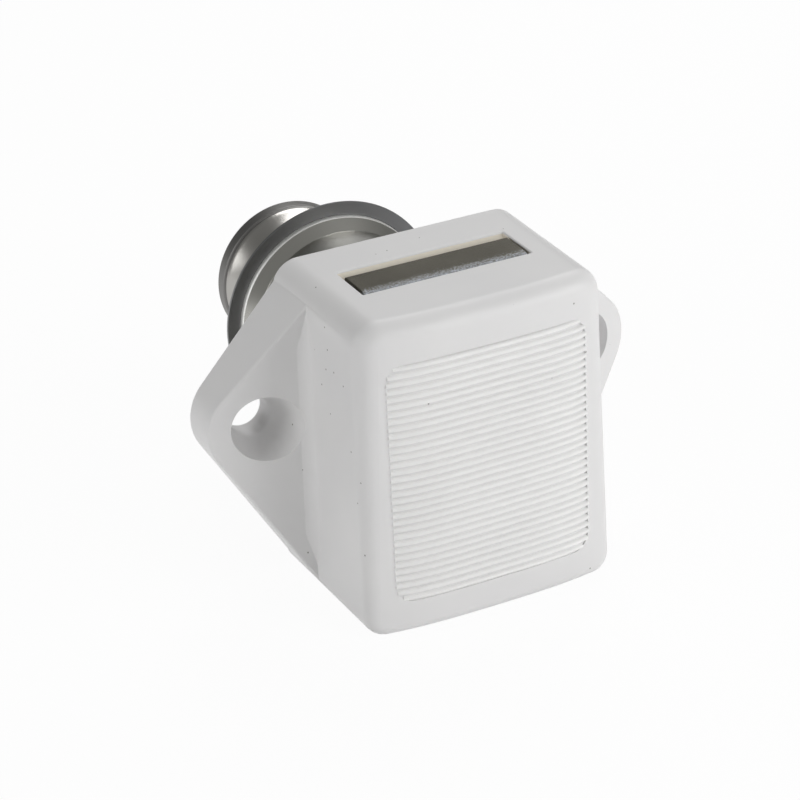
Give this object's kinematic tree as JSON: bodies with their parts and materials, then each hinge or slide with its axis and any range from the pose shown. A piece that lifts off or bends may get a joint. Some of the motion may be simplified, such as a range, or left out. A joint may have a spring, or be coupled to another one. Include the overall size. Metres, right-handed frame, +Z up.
{
  "type": "push-button furniture latch",
  "caption": "Small push-button latch: a white ribbed housing with screw ears, a dead bolt in a slot on top, and a round metal knob with a rosette that passes through a door.",
  "frame": {"origin": "on the knob's axis, in the plane where the housing's ears meet the inner face of the door", "axes": "+Y runs through the door to the knob, +Z is up, the way the bolt comes out, +X is to the right when the ribbed front is seen"},
  "size_m": [0.0496, 0.0512, 0.0355],
  "materials": {
    "white_plastic": "moulded white plastic, semi-gloss",
    "cover_plastic": "moulded off-white plastic",
    "sliding_plastic": "black sliding plastic",
    "satin_nickel": "satin nickel on die-cast zinc",
    "polished_sleeve": "polished nickel",
    "rosette_metal": "dark grey satin die-cast zinc",
    "bolt_metal": "nickel-plated die-cast zinc, brushed",
    "steel": "bright zinc-plated steel",
    "spring_steel": "spring wire and strip"
  },
  "bodies": {
    "case": {"housing": "white_plastic", "base_cover": "cover_plastic", "cover_screw_left": "steel", "cover_screw_right": "steel", "guide_sleeve": "polished_sleeve", "rosette_ring": "rosette_metal", "follower_leaf": "spring_steel", "return_spring": "spring_steel"},
    "button": {"knob": "satin_nickel", "knob_stem": "steel", "stem_pin": "steel", "plunger": "sliding_plastic", "drive_pin_left": "steel", "drive_pin_right": "steel"},
    "bolt": {"latch_bolt": "bolt_metal"},
    "follower": {"track_follower": "spring_steel"}
  },
  "joints": [
    {"name": "button_push", "type": "slide", "parent": "case", "child": "button", "axis": [0, -1, 0], "range_m": [0, 0.0103], "stiffness_N_per_m": 500, "springref_m": -0.006, "deforming": ["return_spring"]},
    {"name": "bolt_throw", "type": "slide", "parent": "case", "child": "bolt", "axis": [0, 0, 1], "range_m": [0, 0.0087]},
    {"name": "follower_swing", "type": "hinge", "parent": "case", "child": "follower", "pos_m": [0, -0.0152, -0.0062], "axis": [0, 0, -1], "range_deg": [0, 14]}
  ],
  "couplings": [
    {"joint": "bolt_throw", "follows": "button_push", "ratio": 0.8421},
    {"joint": "follower_swing", "follows": "button_push", "rad_per_m": 23.595}
  ]
}
